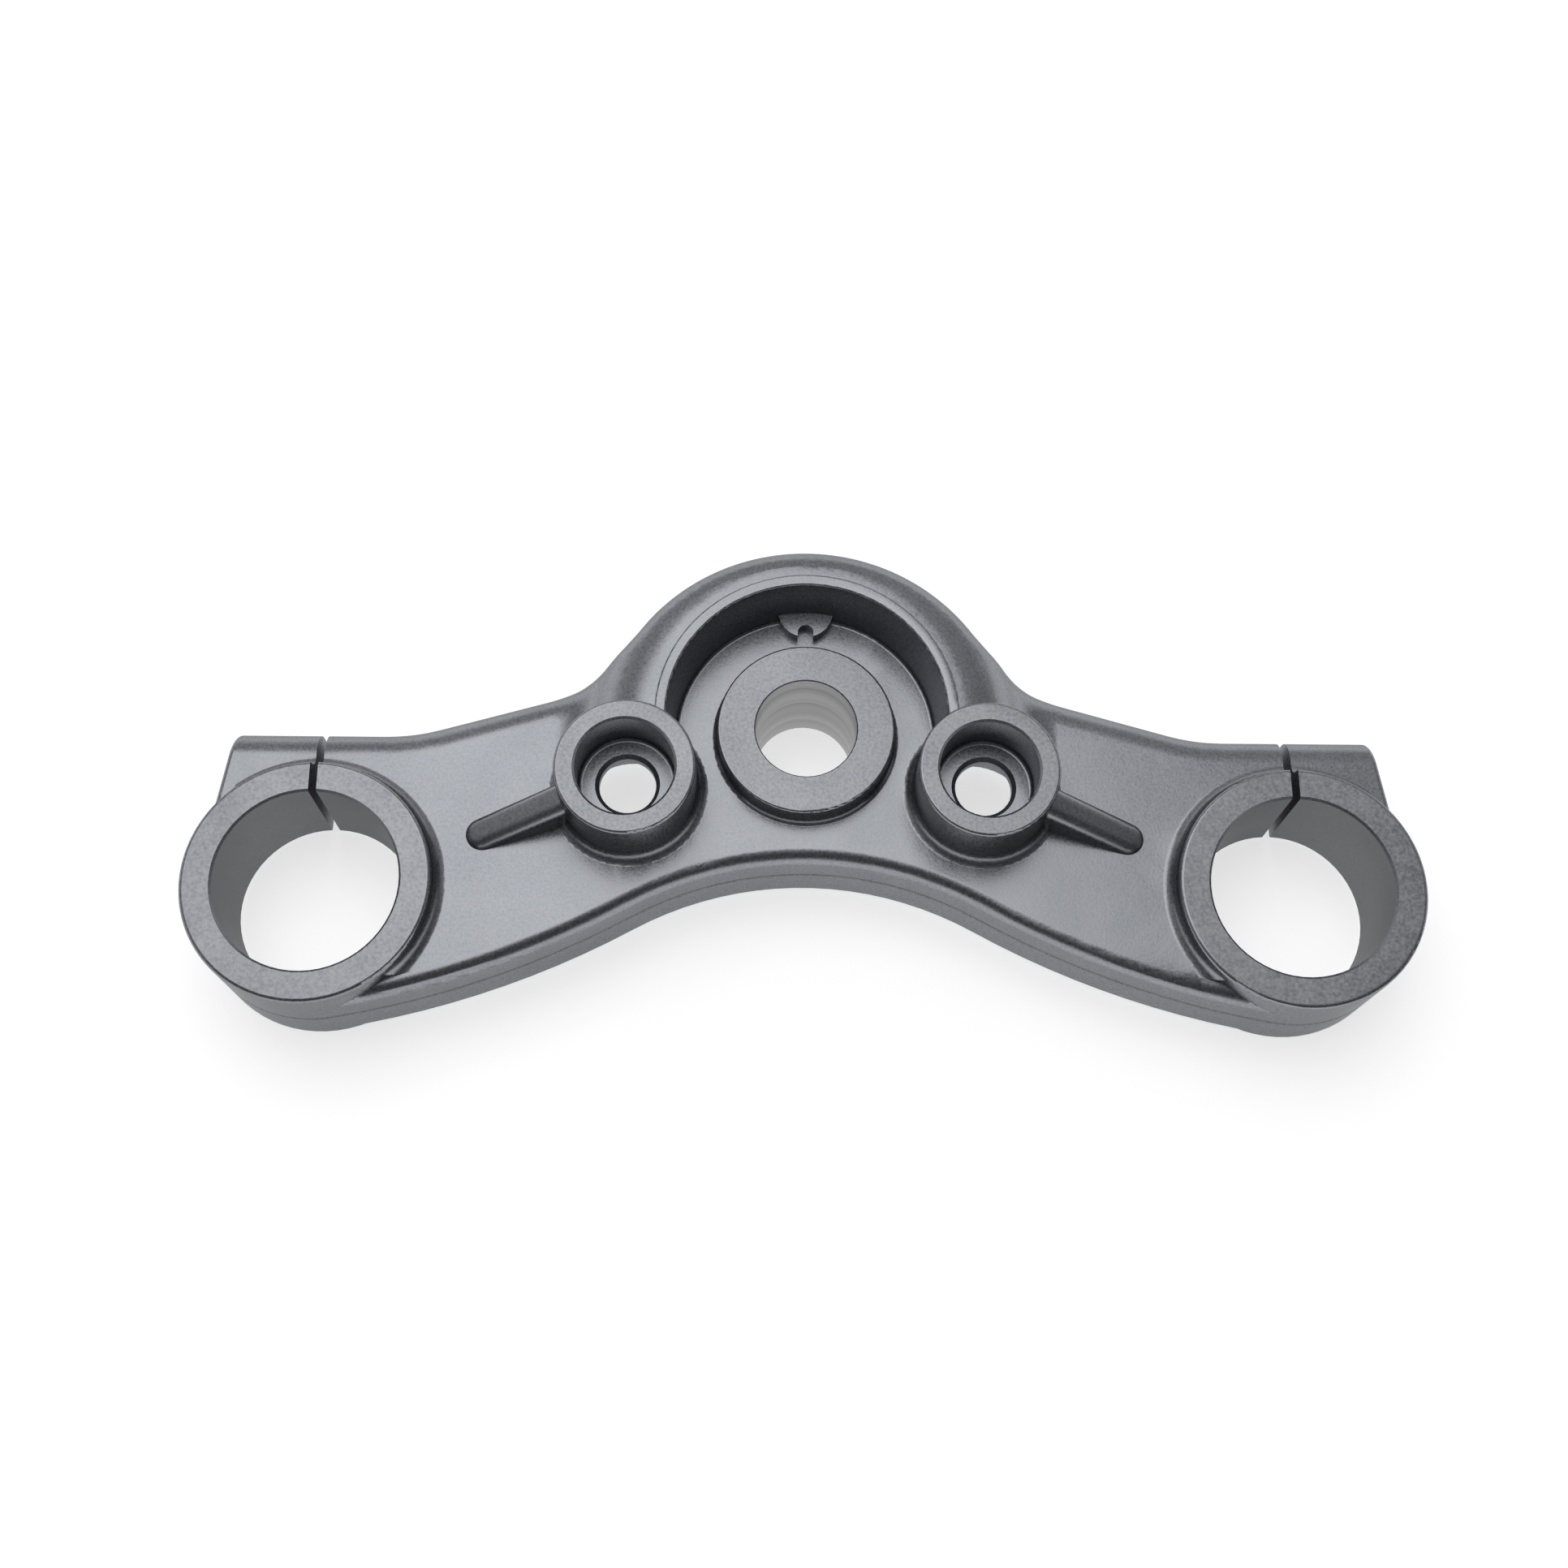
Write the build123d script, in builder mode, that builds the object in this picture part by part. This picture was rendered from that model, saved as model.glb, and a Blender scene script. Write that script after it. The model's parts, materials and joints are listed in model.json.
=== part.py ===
"""Upper triple clamp of a motorcycle: one aluminium casting that holds two fork tubes to the steering stem.

Millimetres. The origin is on the steering stem's axis, at the underside of the hub.
+X runs across the motorcycle, +Y to its rear and +Z up. The fork tubes stand ahead of the stem.
"""
import os
from math import atan2, cos, degrees, radians, sin, sqrt, tan

from build123d import *

# Fork clamps
fork_spacing = 220.0        # between the fork tubes' axes
fork_offset = 36.0          # from the stem's axis forward to the fork tubes' axes
fork_bore = 41.0
ring_wall = 7.1
ring_height = 29.0
ring_rise = 5.5             # of a ring's upper face above the plate
ring_edge = 1.0             # rounding of a ring's upper outer edge
ring_foot = 3.2             # fillet from a ring down to the plate
bore_chamfer = 0.5

# Clamp lugs behind the rings, and their pinch bolts
lug_reach = 37.6            # from a fork axis back to the lug's rear face
lug_outer = 19.8            # from the slit out to the lug's end, at its rear face
lug_inner = 20.0            # from the slit in to where the arm's rear edge turns
lug_taper = 9.5             # degrees that the lug's end leans outward to the front
lug_edge = 1.2              # rounding of the lug's end
lug_turn = 45.0             # rounding in plan where the lug runs into the arm
slit_width = 1.8
pinch_reach = 28.0          # from a fork axis back to the pinch bolt's axis
pinch_height = 11.5
pinch_clearance = 8.4
pinch_core = 6.8
pinch_thread_depth = 20.0
pinch_head_seat = 14.5
pinch_seat_distance = 19.0  # from the slit out to the bolt head's seat

# Plate: the two arms and the floor round the hub
plate_bottom = 2.0
front_reach = 29.3          # from the stem's axis to the front edge
front_hollow = 80.0         # radius of the hollow front edge at the middle
front_bulge = 205.0         # radius of the bulged front edge of each arm
front_round = 3.2
arm_rear_angle = 16.0       # degrees that an arm's rear edge leans back towards the arch
rear_round = 6.8

# Hub for the steering stem
stem_bore = 23.0
stem_chamfer = 0.25
hub_wall = 8.6
hub_height = 30.0
hub_edge = 0.6
hub_foot = 1.6
hub_column = 24.0           # radius of the hub under the plate

# Bosses for the handlebar risers
riser_spacing = 80.0
riser_offset = 13.0
riser_seat = 22.0
riser_wall = 4.6
riser_height = 40.5
riser_seat_depth = 13.0
riser_seat_round = 0.9      # corner round the seat's floor
riser_web = 3.0             # floor between a boss's upper and lower seats
riser_lower_seat = 28.0     # for the lower bush, open below
riser_bolt_hole = 12.8
riser_bolt_chamfer = 0.9
riser_edge = 0.7
riser_foot = 3.0

# Arch: the raised crest round the back of the hub
crest_height = 39.0
recess_radius = 31.3        # inner wall at the rim
recess_draft = 6.6          # degrees
recess_foot = 0.8
rim_width = 2.6
rim_step = 0.8
rim_edge = 0.5
arch_reach = 42.0           # from the stem's axis back to the arch's rear edge
arch_radius = 47.0          # of the rear edge, in plan
arch_blend = 30.0           # rounding in plan between the arch and the arms
shoulder_radius = 15.0
shoulder_foot = 12.0        # hollow where the crest's shoulder runs out on the arms

# Gusset ribs from the riser bosses towards the fork rings
gusset_width = 7.6
gusset_length = 38.0        # from the boss's axis to the tip
gusset_rise = 9.5           # above the plate at the boss's wall
gusset_tip_rise = 0.9
gusset_round = 2.8

# Tab-washer stop at the back of the recess
stop_radius = 6.3
stop_height = 2.9
stop_centre = 30.2          # from the stem's axis
notch_width = 3.6
notch_depth = 3.0

# Hollow underside
skirt_wall = 6.0
roof = 7.0                  # thickness of the plate over the hollows
web = 5.0
hollow_round = 2.5
hollow_draft = 2.0          # degrees
arch_hollow_start = 25.0    # degrees from the X axis round to the arch's hollows

foot_margin = 0.4           # flat built on round a boss's foot, or kept clear of the plate's roundings
foot_sink = 0.05            # from the plate's top down to that flat
same_place = 0.01           # edges closer than this to a place are taken to lie on it

# Places worked out from the sizes above
fork_x = fork_spacing / 2
plate_top = ring_height - ring_rise
ring_radius = fork_bore / 2 + ring_wall
hub_radius = stem_bore / 2 + hub_wall
riser_radius = riser_seat / 2 + riser_wall
riser_core = (riser_seat + riser_wall) / 2   # from a boss's axis to the middle of its wall
notch_length = notch_depth + notch_width / 2
lug_rear = lug_reach - fork_offset
pinch_y = pinch_reach - fork_offset
riser_to_fork = Vector(fork_x - riser_spacing / 2, riser_offset - fork_offset)
arm_angle = degrees(atan2(riser_to_fork.Y, riser_to_fork.X))
arm_hollow_length = riser_to_fork.length - ring_radius - riser_radius - 2 * web
arm_middle_reach = riser_radius + web + arm_hollow_length / 2
arm_middle = Vector(riser_spacing / 2, -riser_offset) + riser_to_fork.normalized() * arm_middle_reach
arch_hollow_end = Vector(2 * arch_radius / tan(radians(arch_hollow_start)), 2 * arch_radius)
fork_points = [(side * fork_x, -fork_offset) for side in (-1, 1)]
riser_points = [(side * riser_spacing / 2, -riser_offset) for side in (-1, 1)]


def circles_meet(centre_a, radius_a, centre_b, radius_b):
    """The rearward one of the two points where two circles cross."""
    across = centre_b - centre_a
    along = (radius_a**2 - radius_b**2 + across.length**2) / (2 * across.length)
    aside = sqrt(radius_a**2 - along**2)
    direction = across.normalized()
    return centre_a + direction * along + Vector(-direction.Y, direction.X) * aside


def turned_boss(centre, radius, height, foot, edge, column, base):
    """A round boss on the plate, with a filleted foot, and its column below the plate."""
    foot_reach = radius + foot + foot_margin
    foot_level = plate_top - foot_sink
    with BuildPart() as boss:
        with BuildSketch(Plane(origin=(*centre, 0), x_dir=(1, 0, 0), z_dir=(0, -1, 0))) as profile:
            with BuildLine():
                Polyline(
                    (0, base),
                    (column, base),
                    (column, plate_top - foot),
                    (foot_reach, plate_top - foot),
                    (foot_reach, foot_level),
                    (radius, foot_level),
                    (radius, height),
                    (0, height),
                    close=True,
                )
            make_face()
            fillet(profile.vertices().sort_by_distance((radius, foot_level))[0], foot)
            fillet(profile.vertices().sort_by_distance((radius, height))[0], edge)
        revolve(axis=Axis((*centre, 0), (0, 0, 1)))
    return boss.part


# Plan of the casting
fork_centre = Vector(fork_x, -fork_offset)
hollow_centre = Vector(0, -front_reach - front_hollow)
bulge_centre = circles_meet(
    hollow_centre, front_bulge + front_hollow, fork_centre, front_bulge - ring_radius
)
hollow_end = hollow_centre + (bulge_centre - hollow_centre).normalized() * front_hollow
bulge_end = bulge_centre + (fork_centre - bulge_centre).normalized() * front_bulge
lug_turn_point = Vector(fork_x - lug_inner, lug_rear)
arch_centre = Vector(0, arch_reach - arch_radius)
rear_direction = Vector(-cos(radians(arm_rear_angle)), sin(radians(arm_rear_angle)))
from_arch = lug_turn_point - arch_centre
nearest = -from_arch.dot(rear_direction)
to_arch = nearest - sqrt(nearest**2 - from_arch.length**2 + arch_radius**2)
arch_start = lug_turn_point + rear_direction * to_arch

with BuildSketch() as outline:
    with BuildLine():
        RadiusArc(hollow_end, bulge_end, -front_bulge)
        Polyline(
            bulge_end,
            fork_centre,
            (fork_x + lug_outer + lug_reach * tan(radians(lug_taper)), -fork_offset),
            (fork_x + lug_outer, lug_rear),
            lug_turn_point,
            arch_start,
        )
        mirror(about=Plane.YZ)
        RadiusArc((-hollow_end.X, hollow_end.Y), hollow_end, front_hollow)
        RadiusArc(arch_start, (-arch_start.X, arch_start.Y), -arch_radius)
    make_face()
    for side in (-1, 1):
        fillet(outline.vertices().sort_by_distance((side * lug_turn_point.X, lug_turn_point.Y))[0], lug_turn)
        fillet(outline.vertices().sort_by_distance((side * arch_start.X, arch_start.Y))[0], arch_blend)

# Plans of the hollows in one half: two beside the web of the arm, and one beside the web of the arch
with BuildSketch() as arm_hollows:
    with Locations(Location((arm_middle.X, arm_middle.Y, 0), (0, 0, arm_angle))):
        Rectangle(arm_hollow_length, fork_spacing)
        Rectangle(arm_hollow_length, web, mode=Mode.SUBTRACT)
    with Locations(bulge_centre):
        Circle(front_bulge - skirt_wall, mode=Mode.INTERSECT)
    with Locations(Location((lug_turn_point.X, lug_turn_point.Y, 0), (0, 0, -arm_rear_angle))):
        with Locations((0, -skirt_wall)):
            Rectangle(fork_spacing, fork_spacing, align=(Align.CENTER, Align.MIN), mode=Mode.SUBTRACT)

with BuildSketch() as arch_hollow:
    with BuildLine():
        Polyline((web / 2, 0), arch_hollow_end, (web / 2, arch_hollow_end.Y), close=True)
    make_face()
    with Locations(arch_centre):
        Circle(arch_radius - skirt_wall, mode=Mode.INTERSECT)
    Circle(hub_column, mode=Mode.SUBTRACT)

with BuildPart() as hollows:
    with BuildSketch(Plane.XY.offset(plate_bottom)) as half_plan:
        add(arm_hollows.sketch)
        add(arch_hollow.sketch)
        fillet(half_plan.vertices(), hollow_round)
    extrude(amount=plate_top - roof - plate_bottom, taper=hollow_draft)
    mirror(about=Plane.YZ)

# Crest: a lip and a rounded shoulder turned round the stem's axis from boss to boss, within the plan
shoulder_start = recess_radius + rim_width
shoulder_top = crest_height - rim_step
both_radii = shoulder_radius + shoulder_foot
shoulder_drop = shoulder_top - plate_top
shoulder_end = shoulder_start + sqrt(both_radii**2 - (both_radii - shoulder_drop) ** 2)
recess_toe = recess_radius - (crest_height - plate_top) * tan(radians(recess_draft))
upper_centre = Vector(shoulder_start, shoulder_top - shoulder_radius)
lower_centre = Vector(shoulder_end, plate_top + shoulder_foot)
shoulder_turn = upper_centre + (lower_centre - upper_centre).normalized() * shoulder_radius
to_riser = Vector(riser_spacing / 2, -riser_offset).normalized()
past_half = degrees(atan2(riser_offset, riser_spacing / 2))
through_riser = Plane(origin=(0, 0, 0), x_dir=to_riser, z_dir=(to_riser.Y, -to_riser.X, 0))

with BuildPart() as crest:
    with BuildSketch(through_riser) as crest_profile:
        with BuildLine():
            Polyline(
                (shoulder_end, plate_top),
                (shoulder_end, plate_top - roof / 2),
                (hub_column, plate_top - roof / 2),
                (hub_column, plate_top),
                (recess_toe, plate_top),
                (recess_radius, crest_height),
                (shoulder_start, crest_height),
                (shoulder_start, shoulder_top),
            )
            RadiusArc((shoulder_start, shoulder_top), shoulder_turn, shoulder_radius)
            RadiusArc(shoulder_turn, (shoulder_end, plate_top), -shoulder_foot)
        make_face()
        fillet(crest_profile.vertices().sort_by_distance((recess_toe, plate_top))[0], recess_foot)
        for rim_corner in (recess_radius, shoulder_start):
            fillet(crest_profile.vertices().sort_by_distance((rim_corner, crest_height))[0], rim_edge)
    revolve(axis=Axis.Z, revolution_arc=180 + 2 * past_half)
    with BuildSketch():
        add(outline.sketch)
    extrude(amount=crest_height, mode=Mode.INTERSECT)
    with Locations(*riser_points):
        Hole(riser_core)

# Fork rings
with BuildPart() as rings:
    with Locations(*fork_points):
        Cylinder(ring_radius, ring_height, align=(Align.CENTER, Align.CENTER, Align.MIN))
    fillet(rings.edges().group_by(Axis.Z)[-1], ring_edge)

# Feet of the fork rings, kept to the flat of the plate
with BuildPart() as ring_feet:
    for point in fork_points:
        add(turned_boss(point, ring_radius, ring_height, ring_foot, ring_edge, ring_radius, plate_bottom))
    with BuildSketch():
        add(outline.sketch)
        offset(amount=-front_round - foot_margin, mode=Mode.REPLACE)
        with Locations((0, lug_rear - rear_round - foot_margin)):
            Rectangle(2 * fork_spacing, fork_spacing, align=(Align.CENTER, Align.MIN), mode=Mode.SUBTRACT)
    extrude(amount=ring_height, mode=Mode.INTERSECT)


def on_outline(edge):
    """True for an edge along the top of the outer wall."""
    middle = edge @ 0.5
    off_wall = outline.wire().distance_to(Vector(middle.X, middle.Y))
    return middle.Z > plate_top - same_place and off_wall < same_place


def is_rear(edge):
    return (edge @ 0.5).Y > lug_rear - same_place


def is_front(edge):
    return (edge @ 0.5).Y < 0 and abs((edge @ 0.5).X) < bulge_end.X


def is_lug_end(edge):
    """True for the edges of a lug's end face, apart from its foot and the edge inside the ring."""
    middle = edge @ 0.5
    return middle.Z > plate_bottom + same_place and middle.Y > same_place - fork_offset


def circles(radius, level):
    """The clamp's circular edges of a radius, at a height."""
    return clamp.edges().filter_by(GeomType.CIRCLE).filter_by(
        lambda edge: abs(edge.radius - radius) + abs(edge.arc_center.Z - level) < same_place
    )


def gusset(side):
    """A ramp with a rounded back, from a riser boss down to the plate on the line to the fork ring."""
    boss = Vector(side * riser_spacing / 2, -riser_offset)
    towards = (Vector(side * fork_x, -fork_offset) - boss).normalized()
    slope = (gusset_rise - gusset_tip_rise) / (gusset_length - riser_radius)
    with BuildPart() as ramp:
        with BuildSketch(Plane(origin=boss, x_dir=towards, z_dir=Vector(towards.Y, -towards.X))):
            with BuildLine():
                Polyline(
                    (0, plate_top - roof),
                    (0, plate_top + gusset_tip_rise + slope * gusset_length),
                    (gusset_length, plate_top + gusset_tip_rise),
                    (gusset_length, plate_top - roof),
                    close=True,
                )
            make_face()
        extrude(amount=gusset_width / 2, both=True)
        with BuildSketch(Plane(origin=boss, x_dir=towards, z_dir=(0, 0, 1))):
            SlotCenterPoint((0, 0), (gusset_length - gusset_width / 2, 0), gusset_width)
        extrude(amount=riser_height, mode=Mode.INTERSECT)
        back = ramp.faces().sort_by(Axis.Z)[-1]
        fillet(back.edges(), gusset_round)
    return ramp.part


with BuildPart() as clamp:
    with BuildSketch(Plane.XY.offset(plate_bottom)):
        add(outline.sketch)
    extrude(amount=plate_top - plate_bottom)
    add(crest.part)
    fillet(clamp.edges().filter_by(on_outline).filter_by(is_rear), rear_round)
    fillet(clamp.edges().filter_by(on_outline).filter_by(is_front), front_round)
    for outermost in (0, -1):
        lug_end = clamp.faces().sort_by(Axis.X)[outermost]
        fillet(lug_end.edges().filter_by(is_lug_end), lug_edge)

    # Fork rings, hub, riser bosses, gussets and washer stop
    add(rings.part)
    add(ring_feet.part)
    add(turned_boss((0, 0), hub_radius, hub_height, hub_foot, hub_edge, hub_column, 0))
    for point in riser_points:
        add(turned_boss(
            point, riser_radius, riser_height, riser_foot, riser_edge, riser_radius, plate_bottom
        ))
    for side in (-1, 1):
        add(gusset(side))
    with Locations((0, stop_centre, plate_top - roof / 2)):
        Cylinder(stop_radius, roof / 2 + stop_height, align=(Align.CENTER, Align.CENTER, Align.MIN))
    with BuildSketch(Plane.XY.offset(plate_top)):
        with Locations((0, stop_centre - stop_radius + notch_depth - notch_length / 2)):
            SlotOverall(notch_length, notch_width, rotation=90)
    extrude(amount=stop_height, mode=Mode.SUBTRACT)

    # Hollows in the underside
    add(hollows.part, mode=Mode.SUBTRACT)

    # Bores for the fork tubes and the stem, and the riser cups
    with Locations(*[(*point, ring_height) for point in fork_points]):
        Hole(fork_bore / 2)
    with Locations((0, 0, hub_height)):
        Hole(stem_bore / 2)
    with Locations(*[(*point, riser_height) for point in riser_points]):
        CounterBoreHole(riser_bolt_hole / 2, riser_seat / 2, riser_seat_depth)
    seat_floor = riser_height - riser_seat_depth
    lower_seat_depth = seat_floor - riser_web - plate_bottom
    with Locations(*[(*point, plate_bottom) for point in riser_points]):
        Cylinder(riser_lower_seat / 2, lower_seat_depth,
                 align=(Align.CENTER, Align.CENTER, Align.MIN), mode=Mode.SUBTRACT)
    fillet(circles(riser_seat / 2, seat_floor), riser_seat_round)
    chamfer(circles(riser_bolt_hole / 2, seat_floor), riser_bolt_chamfer)
    chamfer(circles(stem_bore / 2, hub_height), stem_chamfer)
    for mouth in (0, ring_height):
        chamfer(circles(fork_bore / 2, mouth), bore_chamfer)
    chamfer(circles(riser_seat / 2, riser_height), bore_chamfer)
    chamfer(circles(riser_lower_seat / 2, plate_bottom), bore_chamfer)

    # Slits and pinch bolts
    for side in (-1, 1):
        with Locations((side * fork_x, -fork_offset, 0)):
            Box(slit_width, 2 * lug_reach, ring_height,
                align=(Align.CENTER, Align.MIN, Align.MIN), mode=Mode.SUBTRACT)
        head_seat = Plane(
            origin=(side * (fork_x + pinch_seat_distance), pinch_y, pinch_height), z_dir=(side, 0, 0)
        )
        with BuildSketch(head_seat):
            Circle(pinch_head_seat / 2)
        extrude(amount=lug_outer, mode=Mode.SUBTRACT)
        with BuildSketch(head_seat):
            Circle(pinch_clearance / 2)
        extrude(amount=-pinch_seat_distance, mode=Mode.SUBTRACT)
        with BuildSketch(head_seat):
            Circle(pinch_core / 2)
        extrude(amount=-pinch_seat_distance - pinch_thread_depth, mode=Mode.SUBTRACT)

clamp.part.label = "top_clamp"
os.makedirs("parts", exist_ok=True)
export_step(clamp.part, "parts/top_clamp.step")
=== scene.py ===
"""Studio picture of a motorcycle's upper triple clamp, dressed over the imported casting, in metres."""
import json
from math import cos, pi, radians, sin

import bmesh
import bpy
from mathutils import Matrix, Vector
from mathutils.bvhtree import BVHTree


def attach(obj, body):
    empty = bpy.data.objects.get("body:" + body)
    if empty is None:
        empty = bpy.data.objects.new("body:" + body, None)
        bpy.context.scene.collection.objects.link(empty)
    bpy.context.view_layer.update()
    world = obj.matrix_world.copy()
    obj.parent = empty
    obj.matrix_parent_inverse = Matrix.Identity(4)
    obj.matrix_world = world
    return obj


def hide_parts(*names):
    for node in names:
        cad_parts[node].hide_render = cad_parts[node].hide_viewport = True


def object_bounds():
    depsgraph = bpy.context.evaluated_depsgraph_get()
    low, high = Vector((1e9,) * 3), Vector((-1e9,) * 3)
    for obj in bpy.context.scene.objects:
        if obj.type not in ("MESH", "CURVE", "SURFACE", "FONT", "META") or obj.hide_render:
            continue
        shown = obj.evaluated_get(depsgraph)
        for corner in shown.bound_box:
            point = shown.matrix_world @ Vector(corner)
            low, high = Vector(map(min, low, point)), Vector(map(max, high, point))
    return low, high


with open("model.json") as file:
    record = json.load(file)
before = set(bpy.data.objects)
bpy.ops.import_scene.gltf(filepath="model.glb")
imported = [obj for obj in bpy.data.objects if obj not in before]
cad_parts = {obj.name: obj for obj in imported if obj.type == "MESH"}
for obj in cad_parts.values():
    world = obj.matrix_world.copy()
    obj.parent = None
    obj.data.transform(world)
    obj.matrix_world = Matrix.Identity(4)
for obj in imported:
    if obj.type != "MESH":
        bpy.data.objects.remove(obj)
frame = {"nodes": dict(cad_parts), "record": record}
cad_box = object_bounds()

MM = 0.001
UP = Vector((0, 0, 1))

# Camera, fitted to the photograph's square frame of 1932 x 1932 pixels
CAMERA_PLACE = Vector((-12.0, -162.6, 456.5)) * MM
CAMERA_YAW = radians(2.7)
CAMERA_PITCH = radians(70.7)    # below the horizon
CAMERA_ROLL = radians(-3.0)
CAMERA_LENS = 46.5              # millimetres, and so is the sensor's width
CAMERA_SENSOR = 36.0
CAMERA_NEAR = 1 * MM

# Studio
FLOOR_REACH = 8.0
FLOOR_COLOUR = (0.9, 0.9, 0.9)
FLOOR_ROUGH = 0.9
FLOOR_GLOW_COLOUR = (1, 1, 1)
FLOOR_GLOW = 0.66
ROOM_DARK = (0.07, 0.07, 0.073)
ROOM_LIGHT = (0.36, 0.36, 0.37)
ROOM_DARK_TO = 0.4                # from 0, away from the bright side, to 1, straight towards it
ROOM_LIGHT_FROM = 0.9
ROOM_BRIGHT_SIDE = Vector((-0.2, 0.9, 0.45)).normalized()
HORIZON_COLOUR = (0.85, 0.85, 0.85)
HORIZON_LOW = sin(radians(4))     # height of a direction at which the horizon is full
HORIZON_HIGH = sin(radians(16))   # and at which it has faded into the room
SOFTBOX_PLACE = (-0.17, 0.33, 1.13)
SOFTBOX_SIZE = 0.92
SOFTBOX_POWER = 3.4

# Noise
NOISE_DETAIL = 2.0
NOISE_LOW = 0.3                 # most of its values lie from here
NOISE_HIGH = 0.7                # to here

# Metallic paint
PAINT_METALLIC = 0.92
PAINT_SPECULAR_TINT = (0.5, 0.5, 0.5)
FLAKE_SHARE = 0.8               # of the colour's change, from flake to flake
CLOUD_SHARE = 0.2               # and from place to place on the casting
CLOUD_SIZE = 14 * MM
ROUGH_CHANGE = 0.05             # up and down, from flake to flake
SKIN_SIZE = 3.5 * MM            # of the cast skin's unevenness
SKIN_DEPTH = 0.02 * MM

# Turned metal of the stem bore
TURNED_DARK = (0.27, 0.27, 0.268)
TURNED_LIGHT = (0.46, 0.46, 0.457)
TURNED_ROUGH = 0.38
TURNED_SPACING = 4.5 * MM
TURNED_DEPTH = 0.08 * MM

# Finding the casting's machined faces, bores and outer walls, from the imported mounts
MOUNTS = {mount["name"]: mount for mount in frame["record"]["mounts"]}
WELD = 0.001 * MM
ON_FACE = 0.05 * MM
ON_BORE = 0.15 * MM
RIM_REACH = 2 * MM              # a bore's flat upper face begins within this of its wall
TOP_REACH = 2                   # and ends within this many radii of its axis
FLAT = 0.999                    # a face is level if its normal's height is above this
UPRIGHT = 0.1                   # and upright if it is below this
SOFT_EDGE = radians(42)         # an edge that turns less than this is shaded as a curve
SOFT_WALL_EDGE = radians(24)    # on the outer walls, where the parting line's edges stay crisp

# Parting line of the mould, a shallow trimmed band round the outer walls
PARTING_HEIGHT = 12.7 * MM
PARTING_WIDTH = 0.9 * MM
PARTING_SLOPE = 0.3 * MM
PARTING_DEPTH = 0.2 * MM


def mount_axis(name):
    """The axis in plan and the radius of a packed bore or clamp."""
    mount = MOUNTS[name]
    x, y, _ = mount["pos_m"]
    return Vector((x, y)), mount["dims"]["r_mm"] * MM


STEM = mount_axis("stem_bore")
FORKS = [mount_axis(f"fork_clamp_{side}") for side in ("left", "right")]
RISERS = [mount_axis(f"riser_seat_{side}") for side in ("left", "right")]
FORK_X = FORKS[1][0].x
RING_RADIUS = cad_box[1].x - FORK_X


# Node helpers

def material(name):
    """A new material and its cleared node tree, with a Principled shader on the output."""
    made = bpy.data.materials.new(name)
    made.use_nodes = True
    tree = made.node_tree
    tree.nodes.clear()
    output = tree.nodes.new("ShaderNodeOutputMaterial")
    shader = tree.nodes.new("ShaderNodeBsdfPrincipled")
    tree.links.new(shader.outputs["BSDF"], output.inputs["Surface"])
    return made, tree, shader


def place(tree):
    """The point on the surface, in the frame's metres."""
    return tree.nodes.new("ShaderNodeTexCoord").outputs["Object"]


def height_of(tree, vector):
    """The Z of a point or a direction."""
    node = tree.nodes.new("ShaderNodeSeparateXYZ")
    tree.links.new(vector, node.inputs["Vector"])
    return node.outputs["Z"]


def noise(tree, point, size):
    """Noise whose lumps are about this size across."""
    node = tree.nodes.new("ShaderNodeTexNoise")
    node.inputs["Scale"].default_value = 1 / size
    node.inputs["Detail"].default_value = NOISE_DETAIL
    tree.links.new(point, node.inputs["Vector"])
    return node.outputs["Fac"]


def noise_along(tree, distance, size):
    """Noise that changes along one distance only."""
    node = tree.nodes.new("ShaderNodeTexNoise")
    node.noise_dimensions = "1D"
    node.inputs["Scale"].default_value = 1 / size
    node.inputs["Detail"].default_value = NOISE_DETAIL
    tree.links.new(distance, node.inputs["W"])
    return node.outputs["Fac"]


def spread(tree, value, low, high, start=NOISE_LOW, end=NOISE_HIGH):
    """Maps a value from start..end to low..high."""
    node = tree.nodes.new("ShaderNodeMapRange")
    node.inputs["From Min"].default_value = start
    node.inputs["From Max"].default_value = end
    node.inputs["To Min"].default_value = low
    node.inputs["To Max"].default_value = high
    tree.links.new(value, node.inputs["Value"])
    return node.outputs["Result"]


def math(tree, operation, first, second):
    """One Math node. A plain number goes on the socket itself."""
    node = tree.nodes.new("ShaderNodeMath")
    node.operation = operation
    for socket, value in zip(node.inputs, (first, second)):
        if isinstance(value, (int, float)):
            socket.default_value = value
        else:
            tree.links.new(value, socket)
    return node.outputs["Value"]


def tinted(tree, factor, dark, light):
    """A colour between two, by a factor from 0 to 1."""
    node = tree.nodes.new("ShaderNodeMix")
    node.data_type = "RGBA"
    node.inputs["A"].default_value = (*dark, 1)
    node.inputs["B"].default_value = (*light, 1)
    tree.links.new(factor, node.inputs["Factor"])
    return node.outputs["Result"]


def bump(tree, height, depth, normal=None):
    """A bump whose height of 1 is this deep, on top of another bump's normal if there is one."""
    node = tree.nodes.new("ShaderNodeBump")
    node.inputs["Strength"].default_value = 1.0
    node.inputs["Distance"].default_value = depth
    tree.links.new(height, node.inputs["Height"])
    if normal is not None:
        tree.links.new(normal, node.inputs["Normal"])
    return node.outputs["Normal"]


# Materials

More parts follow.
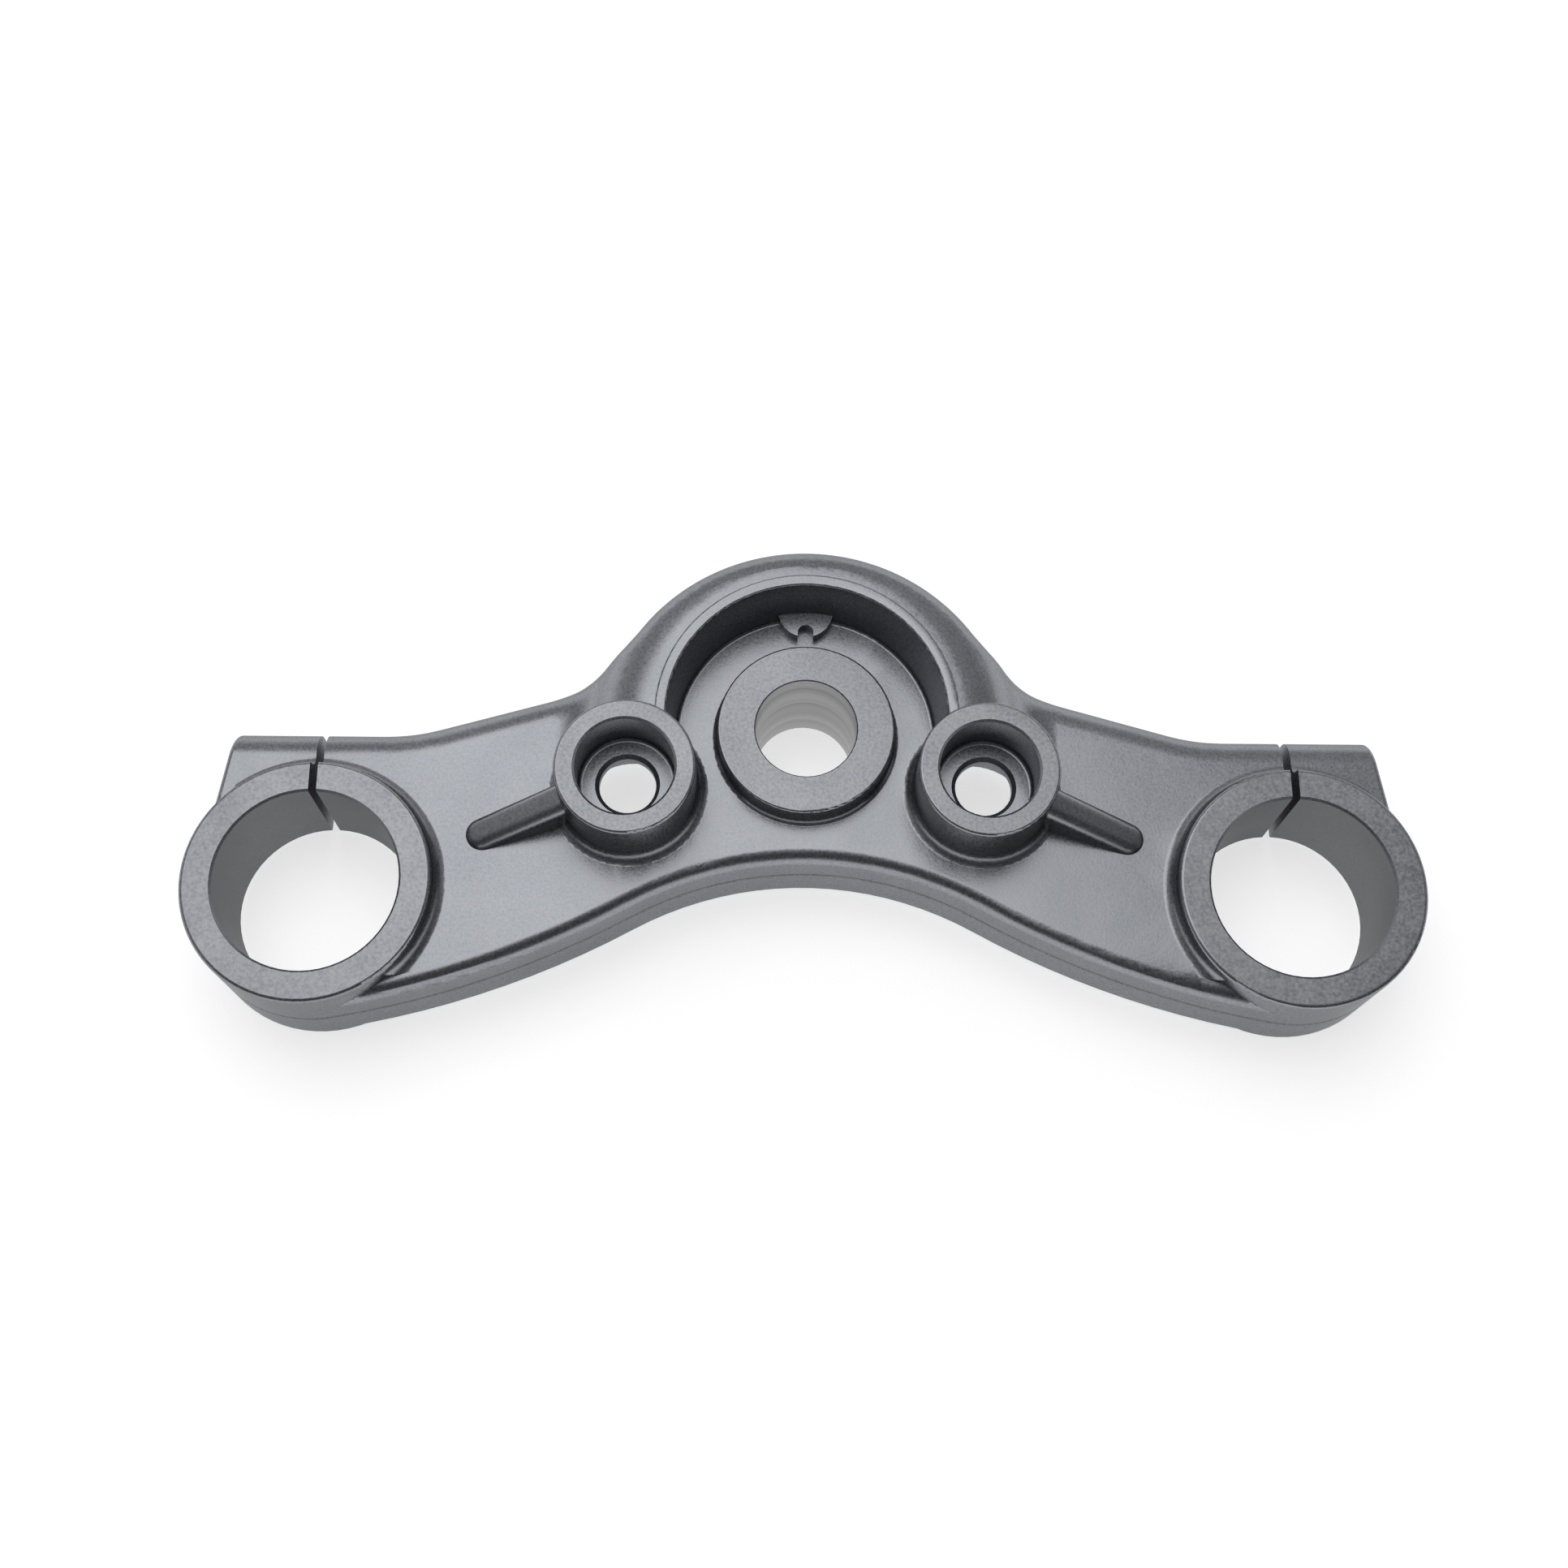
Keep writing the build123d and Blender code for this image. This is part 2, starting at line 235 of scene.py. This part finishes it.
def metallic_paint(name, dark, light, rough, grain_size, grain_depth):
    """Satin metallic paint: fine bright flakes in a grey base, over a slightly uneven cast skin."""
    made, tree, shader = material(name)
    point = place(tree)
    grain = noise(tree, point, grain_size)
    cloud = noise(tree, point, CLOUD_SIZE)
    flakes = spread(tree, grain, 0, FLAKE_SHARE)
    clouds = spread(tree, cloud, 0, CLOUD_SHARE)
    tone = math(tree, "ADD", flakes, clouds)
    tree.links.new(tinted(tree, tone, dark, light), shader.inputs["Base Color"])
    roughness = spread(tree, grain, rough - ROUGH_CHANGE, rough + ROUGH_CHANGE)
    tree.links.new(roughness, shader.inputs["Roughness"])
    skin = bump(tree, noise(tree, point, SKIN_SIZE), SKIN_DEPTH)
    tree.links.new(bump(tree, grain, grain_depth, skin), shader.inputs["Normal"])
    shader.inputs["Metallic"].default_value = PAINT_METALLIC
    shader.inputs["Specular Tint"].default_value = (*PAINT_SPECULAR_TINT, 1)
    return made


def turned_metal(name):
    """The stem bore: bare aluminium with the rings that a boring tool leaves."""
    made, tree, shader = material(name)
    rings = noise_along(tree, height_of(tree, place(tree)), TURNED_SPACING)
    tone = spread(tree, rings, 0, 1)
    tree.links.new(tinted(tree, tone, TURNED_DARK, TURNED_LIGHT), shader.inputs["Base Color"])
    tree.links.new(bump(tree, rings, TURNED_DEPTH), shader.inputs["Normal"])
    shader.inputs["Roughness"].default_value = TURNED_ROUGH
    shader.inputs["Metallic"].default_value = 1.0
    return made


MATERIALS = {
    "paint": metallic_paint(
        "casting_paint",
        dark=(0.25, 0.26, 0.28),
        light=(0.38, 0.39, 0.415),
        rough=0.3,
        grain_size=0.6 * MM,
        grain_depth=0.02 * MM,
    ),
    "machined": metallic_paint(
        "machined_paint",
        dark=(0.22, 0.23, 0.25),
        light=(0.46, 0.47, 0.49),
        rough=0.4,
        grain_size=0.7 * MM,
        grain_depth=0.02 * MM,
    ),
    "fork_bore": metallic_paint(
        "fork_bore_paint",
        dark=(0.2, 0.205, 0.215),
        light=(0.28, 0.285, 0.295),
        rough=0.45,
        grain_size=0.5 * MM,
        grain_depth=0.01 * MM,
    ),
    "stem_bore": turned_metal("stem_bore_metal"),
    # The parting line's band is set into the walls for real, and its darker paint is painted shade
    # along that line
    "painted_parting_shade": metallic_paint(
        "parting_band_painted_shade",
        dark=(0.16, 0.165, 0.175),
        light=(0.24, 0.245, 0.255),
        rough=0.45,
        grain_size=0.6 * MM,
        grain_depth=0.01 * MM,
    ),
}


# The casting

def in_bore(axis, centre, normal):
    """True on the upright wall of a bore."""
    middle, radius = axis
    return abs(normal.z) < UPRIGHT and (centre.xy - middle).length < radius + ON_BORE


def on_top(axis, centre, normal, height):
    """True on a flat upper face round an axis."""
    middle, radius = axis
    at_height = abs(centre.z - height) < ON_FACE
    near_axis = (centre.xy - middle).length < TOP_REACH * radius
    return normal.z > FLAT and at_height and near_axis


def on_lug_end(centre, normal):
    """True outside a fork's axis, off its ring, where the wall faces sideways."""
    off_rings = all((centre.xy - middle).length > RING_RADIUS + ON_BORE for middle, _ in FORKS)
    return off_rings and abs(centre.x) > FORK_X and abs(normal.x) > abs(normal.y)


def mark_outer_walls(work):
    """Marks the upright faces from which nothing of the casting lies outward and up.

    The bores of the stem and the forks, and the ends of the clamp lugs, are left out.
    """
    wall = work.faces.layers.int.new("outer_wall")
    surface = BVHTree.FromBMesh(work)
    for face in work.faces:
        centre, normal = face.calc_center_median(), face.normal
        if abs(normal.z) > UPRIGHT or on_lug_end(centre, normal):
            continue
        if any(in_bore(axis, centre, normal) for axis in (STEM, *FORKS)):
            continue
        outward_and_up = normal + UP
        face[wall] = surface.ray_cast(centre + normal * ON_FACE, outward_and_up)[0] is None
    return wall


def parting_line(work, wall):
    """Cuts the band of the parting line into the marked walls and sets it in a little."""
    half_band = PARTING_WIDTH / 2
    for offset in (-half_band - PARTING_SLOPE, -half_band, half_band, half_band + PARTING_SLOPE):
        faces = [face for face in work.faces if face[wall]]
        edges = {edge for face in faces for edge in face.edges}
        corners = {corner for face in faces for corner in face.verts}
        level = UP * (PARTING_HEIGHT + offset)
        bmesh.ops.bisect_plane(work, geom=[*faces, *edges, *corners], plane_co=level, plane_no=UP)
    work.normal_update()
    for corner in work.verts:
        if abs(corner.co.z - PARTING_HEIGHT) > half_band + ON_FACE:
            continue
        if all(face[wall] for face in corner.link_faces):
            corner.co -= corner.normal * PARTING_DEPTH


def zone(face, heights, wall):
    """Which finish a face has."""
    centre, normal = face.calc_center_median(), face.normal
    # The parting line's band takes the darker paint, which is painted shade
    if face[wall] and abs(centre.z - PARTING_HEIGHT) < PARTING_WIDTH / 2:
        return "painted_parting_shade"
    if in_bore(STEM, centre, normal):
        return "stem_bore"
    if any(in_bore(axis, centre, normal) for axis in FORKS):
        return "fork_bore"
    if any(on_top(axis, centre, normal, height) for axis, height in heights):
        return "machined"
    return "paint"


def top_height(work, axis):
    """Height of the flat face round a bore: the highest point near its rim."""
    middle, radius = axis
    return max(
        corner.co.z for corner in work.verts
        if radius < (corner.co.xy - middle).length < radius + RIM_REACH
    )


def casting():
    """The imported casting's own surface, with the parting line cut into it.

    It has one vertex at each corner, a finish on each face, and edges that are soft where the
    casting is round.
    """
    mesh = bpy.data.meshes.new("casting")
    work = bmesh.new()
    work.from_mesh(frame["nodes"]["top_clamp"].data)
    bmesh.ops.remove_doubles(work, verts=work.verts, dist=WELD)
    heights = [(axis, top_height(work, axis)) for axis in (STEM, *FORKS, *RISERS)]
    wall = mark_outer_walls(work)
    parting_line(work, wall)
    finishes = list(MATERIALS)
    for face in work.faces:
        face.smooth = True
        face.material_index = finishes.index(zone(face, heights, wall))
    for edge in work.edges:
        on_wall = all(face[wall] for face in edge.link_faces)
        edge.smooth = edge.calc_face_angle(pi) < (SOFT_WALL_EDGE if on_wall else SOFT_EDGE)
    work.to_mesh(mesh)
    work.free()
    piece = bpy.data.objects.new("casting", mesh)
    bpy.context.scene.collection.objects.link(piece)
    for finish in finishes:
        mesh.materials.append(MATERIALS[finish])
    flats = piece.modifiers.new("flat_faces_stay_flat", "WEIGHTED_NORMAL")
    flats.keep_sharp = True
    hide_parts("top_clamp")
    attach(piece, "root")


# Floor, light and camera

def floor():
    """A pale floor, which keeps the casting's shadow.

    Its glow is seen by the camera and in reflections, and lights nothing else.
    """
    mesh = bpy.data.meshes.new("floor")
    corners = [(-1, -1, 0), (1, -1, 0), (1, 1, 0), (-1, 1, 0)]
    mesh.from_pydata([Vector(corner) * FLOOR_REACH for corner in corners], [], [(0, 1, 2, 3)])
    made, tree, shader = material("pale_floor")
    shader.inputs["Base Color"].default_value = (*FLOOR_COLOUR, 1)
    shader.inputs["Roughness"].default_value = FLOOR_ROUGH
    shader.inputs["Emission Color"].default_value = (*FLOOR_GLOW_COLOUR, 1)
    path = tree.nodes.new("ShaderNodeLightPath")
    seen = math(tree, "MAXIMUM", path.outputs["Is Camera Ray"], path.outputs["Is Glossy Ray"])
    seen = math(tree, "MAXIMUM", seen, path.outputs["Is Transmission Ray"])
    tree.links.new(math(tree, "MULTIPLY", seen, FLOOR_GLOW), shader.inputs["Emission Strength"])
    mesh.materials.append(made)
    plane = bpy.data.objects.new("floor", mesh)
    plane.location.z = cad_box[0].z
    bpy.context.scene.collection.objects.link(plane)


def room_colour(tree, direction):
    """Dim, and brighter towards the room's bright side, at the rear."""
    towards = tree.nodes.new("ShaderNodeVectorMath")
    towards.operation = "DOT_PRODUCT"
    towards.inputs[1].default_value = ROOM_BRIGHT_SIDE
    tree.links.new(direction, towards.inputs[0])
    ramp = tree.nodes.new("ShaderNodeValToRGB")
    ramp.color_ramp.interpolation = "EASE"
    dark, light = ramp.color_ramp.elements
    dark.position = ROOM_DARK_TO
    dark.color = (*ROOM_DARK, 1)
    light.position = ROOM_LIGHT_FROM
    light.color = (*ROOM_LIGHT, 1)
    share = spread(tree, towards.outputs["Value"], 0, 1, start=-1, end=1)
    tree.links.new(share, ramp.inputs["Fac"])
    return ramp.outputs["Color"]


def studio_world():
    """The room, with a pale horizon all round it."""
    world = bpy.data.worlds.new("studio")
    bpy.context.scene.world = world
    world.use_nodes = True
    tree = world.node_tree
    tree.nodes.clear()
    output = tree.nodes.new("ShaderNodeOutputWorld")
    light = tree.nodes.new("ShaderNodeBackground")
    tree.links.new(light.outputs["Background"], output.inputs["Surface"])
    direction = tree.nodes.new("ShaderNodeTexCoord").outputs["Generated"]
    horizon = tree.nodes.new("ShaderNodeMix")
    horizon.data_type = "RGBA"
    horizon.inputs["B"].default_value = (*HORIZON_COLOUR, 1)
    share = spread(tree, height_of(tree, direction), 1, 0, start=HORIZON_LOW, end=HORIZON_HIGH)
    tree.links.new(share, horizon.inputs["Factor"])
    tree.links.new(room_colour(tree, direction), horizon.inputs["A"])
    tree.links.new(horizon.outputs["Result"], light.inputs["Color"])


def area_light(name, spot, size, power):
    """A square lamp that faces the frame's origin."""
    data = bpy.data.lights.new(name, "AREA")
    data.shape = "SQUARE"
    data.size = size
    data.energy = power
    lamp = bpy.data.objects.new(name, data)
    lamp.location = spot
    lamp.rotation_mode = "QUATERNION"
    lamp.rotation_quaternion = (-Vector(spot)).to_track_quat("-Z", "Y")
    bpy.context.scene.collection.objects.link(lamp)


def camera():
    """The camera, turned by its yaw, pitch and roll."""
    data = bpy.data.cameras.new("camera")
    data.lens = CAMERA_LENS
    data.sensor_width = CAMERA_SENSOR
    data.clip_start = CAMERA_NEAR
    forward = Vector((
        sin(CAMERA_YAW) * cos(CAMERA_PITCH),
        cos(CAMERA_YAW) * cos(CAMERA_PITCH),
        -sin(CAMERA_PITCH),
    ))
    level = Vector((cos(CAMERA_YAW), -sin(CAMERA_YAW), 0))
    down = forward.cross(level)
    right = level * cos(CAMERA_ROLL) + down * sin(CAMERA_ROLL)
    up = level * sin(CAMERA_ROLL) - down * cos(CAMERA_ROLL)
    eye = bpy.data.objects.new("camera", data)
    turn = Matrix((right, up, -forward)).transposed()
    eye.matrix_world = Matrix.Translation(CAMERA_PLACE) @ turn.to_4x4()
    bpy.context.scene.collection.objects.link(eye)
    bpy.context.scene.camera = eye


casting()
floor()
studio_world()
area_light("softbox", SOFTBOX_PLACE, SOFTBOX_SIZE, SOFTBOX_POWER)
camera()
bpy.context.scene.view_settings.view_transform = "Standard"
